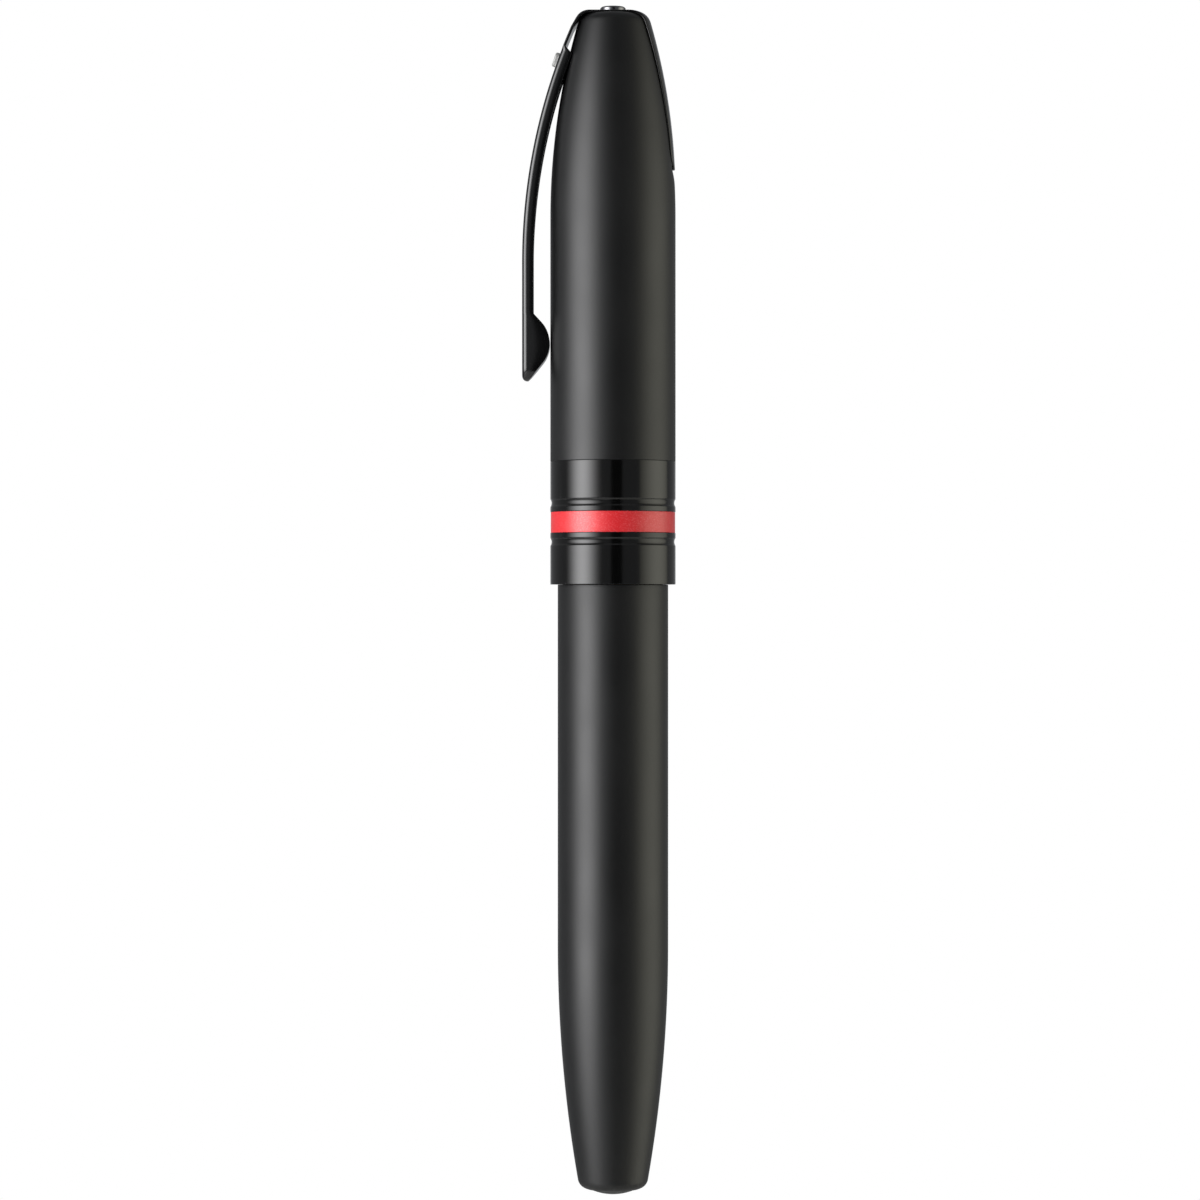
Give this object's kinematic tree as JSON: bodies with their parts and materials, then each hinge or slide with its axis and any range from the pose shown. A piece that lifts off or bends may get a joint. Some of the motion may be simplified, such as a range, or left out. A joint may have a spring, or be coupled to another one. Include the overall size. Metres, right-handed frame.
{
  "type": "counterfeit detector pen",
  "caption": "Capped ink marker with a pull-off cap, a wrap-over spring clip, a coloured ring between two gloss bands, and a refillable grip section that unscrews.",
  "frame": {"origin": "on the axis of the pen, at the shoulder of the barrel where the lip of the cap seats", "axes": "+Z along the axis towards the crown of the cap, -X towards the clip"},
  "size_m": [0.0176, 0.0144, 0.1364],
  "materials": {
    "satin_black_lacquer": "satin black lacquer on a turned brass tube",
    "gloss_black_plating": "polished black plating",
    "gloss_black_spring": "gloss black coating on spring steel",
    "red_lacquer": "satin metallic red lacquer",
    "bright_steel": "bright spring steel",
    "dark_steel": "dark polished steel",
    "turned_brass": "plain turned brass",
    "moulded_black_grip": "smooth moulded black plastic",
    "holder_plastic": "fine matt moulded plastic",
    "liner_plastic": "natural moulded plastic",
    "cartridge_plastic": "natural extruded plastic",
    "nib_felt": "bonded fibre stained by amber ink",
    "ink_fibre": "ink-soaked fibre",
    "seal_rubber": "smooth black rubber"
  },
  "bodies": {
    "barrel": {"barrel_tube": "satin_black_lacquer", "barrel_insert": "turned_brass", "tail_plug": "satin_black_lacquer", "refill_spring": "bright_steel"},
    "trim": {"trim_ring": "gloss_black_plating"},
    "section": {"grip_section": "moulded_black_grip", "section_o_ring": "seal_rubber", "nib_holder": "holder_plastic", "fibre_nib": "nib_felt", "cartridge_tube": "cartridge_plastic", "ink_reservoir": "ink_fibre", "cartridge_collar": "cartridge_plastic", "cartridge_plug": "cartridge_plastic"},
    "clutch": {"clutch_ring": "bright_steel"},
    "cap": {"cap_shell": "satin_black_lacquer", "lower_band": "gloss_black_plating", "coloured_ring": "red_lacquer", "upper_band": "gloss_black_plating", "cap_sleeve": "turned_brass", "inner_cap": "liner_plastic", "inner_cap_seal": "seal_rubber", "crown_bush": "turned_brass", "clip_yoke": "gloss_black_spring", "clip_screw": "dark_steel"},
    "clip": {"clip_blade": "gloss_black_spring", "clip_rivet": "bright_steel"}
  },
  "joints": [
    {"name": "section_travel", "type": "slide", "parent": "barrel", "child": "trim", "axis": [0, 0, 1], "range_m": [0, 0.006]},
    {"name": "section_turn", "type": "hinge", "parent": "trim", "child": "section", "pos_m": [0, 0, 0], "axis": [0, 0, 1], "range_deg": [0, 2880]},
    {"name": "cap_pull", "type": "slide", "parent": "section", "child": "clutch", "axis": [0, 0, 1], "range_m": [0, 0.06]},
    {"name": "cap_turn", "type": "hinge", "parent": "clutch", "child": "cap", "pos_m": [0, 0, 0], "axis": [0, 0, 1], "continuous": true},
    {"name": "clip_flex", "type": "hinge", "parent": "cap", "child": "clip", "pos_m": [-0.0042, 0, 0.06499], "axis": [0, 1, 0], "range_deg": [0, 4], "stiffness_Nm_per_rad": 1.5, "springref_deg": -2.01}
  ],
  "couplings": [
    {"joint": "section_turn", "follows": "section_travel", "rad_per_m": 8377.6}
  ]
}
